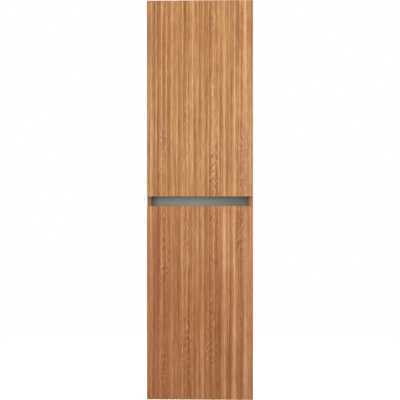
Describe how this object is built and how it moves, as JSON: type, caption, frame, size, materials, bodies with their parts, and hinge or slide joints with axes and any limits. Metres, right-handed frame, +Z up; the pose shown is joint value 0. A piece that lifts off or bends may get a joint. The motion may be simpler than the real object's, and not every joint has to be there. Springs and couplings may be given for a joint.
{
  "type": "tall wall cabinet",
  "caption": "Tall narrow wall-hung cabinet with reeded timber doors above and below a recessed grey handle profile, on concealed hinges, with shelves inside.",
  "frame": {"origin": "middle of the top panel's rear edge, on the wall plane", "axes": "+X to the right seen from the front, +Y into the wall, +Z up; the doors face -Y"},
  "size_m": [0.4, 0.35, 1.5],
  "materials": {
    "reeded_timber": "satin lacquered timber, streaked grain",
    "carcass_board": "wood-faced board, edge banded",
    "back_board": "thin wood-faced fibreboard",
    "handle_aluminium": "satin anodised, warm grey",
    "bracket_plastic": "moulded grey plastic",
    "shelf_pin_steel": "nickel plated",
    "hinge_steel": "nickel plated pressed steel",
    "hanger_zinc": null,
    "hook_steel": "zinc plated steel",
    "wall_plate_steel": "zinc plated steel sheet",
    "bumper_rubber": "soft translucent bumper"
  },
  "bodies": {
    "carcass": {"side_panel_left": "carcass_board", "side_panel_right": "carcass_board", "top_panel": "carcass_board", "bottom_panel": "carcass_board", "fixed_shelf": "carcass_board", "back_panel": "back_board", "handle_profile": "handle_aluminium", "profile_bracket_upper_left": "bracket_plastic", "profile_bracket_upper_right": "bracket_plastic", "profile_bracket_lower_left": "bracket_plastic", "profile_bracket_lower_right": "bracket_plastic", "upper_shelf_1": "carcass_board", "upper_shelf_2": "carcass_board", "lower_shelf_1": "carcass_board", "lower_shelf_2": "carcass_board", "upper_shelf_1_pin_front_left": "shelf_pin_steel", "upper_shelf_1_pin_front_right": "shelf_pin_steel", "upper_shelf_1_pin_rear_left": "shelf_pin_steel", "upper_shelf_1_pin_rear_right": "shelf_pin_steel", "upper_shelf_2_pin_front_left": "shelf_pin_steel", "upper_shelf_2_pin_front_right": "shelf_pin_steel", "upper_shelf_2_pin_rear_left": "shelf_pin_steel", "upper_shelf_2_pin_rear_right": "shelf_pin_steel", "lower_shelf_1_pin_front_left": "shelf_pin_steel", "lower_shelf_1_pin_front_right": "shelf_pin_steel", "lower_shelf_1_pin_rear_left": "shelf_pin_steel", "lower_shelf_1_pin_rear_right": "shelf_pin_steel", "lower_shelf_2_pin_front_left": "shelf_pin_steel", "lower_shelf_2_pin_front_right": "shelf_pin_steel", "lower_shelf_2_pin_rear_left": "shelf_pin_steel", "lower_shelf_2_pin_rear_right": "shelf_pin_steel", "upper_hinge_plate_top": "hinge_steel", "upper_hinge_plate_bottom": "hinge_steel", "lower_hinge_plate_top": "hinge_steel", "lower_hinge_plate_bottom": "hinge_steel", "upper_hinge_arm_top": "hinge_steel", "upper_hinge_arm_bottom": "hinge_steel", "lower_hinge_arm_top": "hinge_steel", "lower_hinge_arm_bottom": "hinge_steel", "upper_door_bumper_top": "bumper_rubber", "upper_door_bumper_bottom": "bumper_rubber", "lower_door_bumper_top": "bumper_rubber", "lower_door_bumper_bottom": "bumper_rubber", "hanger_housing_left": "hanger_zinc", "hanger_housing_right": "hanger_zinc", "hanger_hook_left": "hook_steel", "hanger_hook_right": "hook_steel", "wall_plate_left": "wall_plate_steel", "wall_plate_right": "wall_plate_steel"},
    "upper_door_leaf": {"upper_door": "reeded_timber", "upper_hinge_cup_top": "hinge_steel", "upper_hinge_cup_bottom": "hinge_steel", "upper_hinge_pin_top": "hinge_steel", "upper_hinge_pin_bottom": "hinge_steel"},
    "lower_door_leaf": {"lower_door": "reeded_timber", "lower_hinge_cup_top": "hinge_steel", "lower_hinge_cup_bottom": "hinge_steel", "lower_hinge_pin_top": "hinge_steel", "lower_hinge_pin_bottom": "hinge_steel"}
  },
  "joints": [
    {"name": "upper_door_hinge", "type": "hinge", "parent": "carcass", "child": "upper_door_leaf", "pos_m": [-0.1915, -0.3385, -0.3605], "axis": [0, 0, -1], "range_deg": [0, 95]},
    {"name": "lower_door_hinge", "type": "hinge", "parent": "carcass", "child": "lower_door_leaf", "pos_m": [-0.1915, -0.3385, -1.128], "axis": [0, 0, -1], "range_deg": [0, 95]}
  ]
}
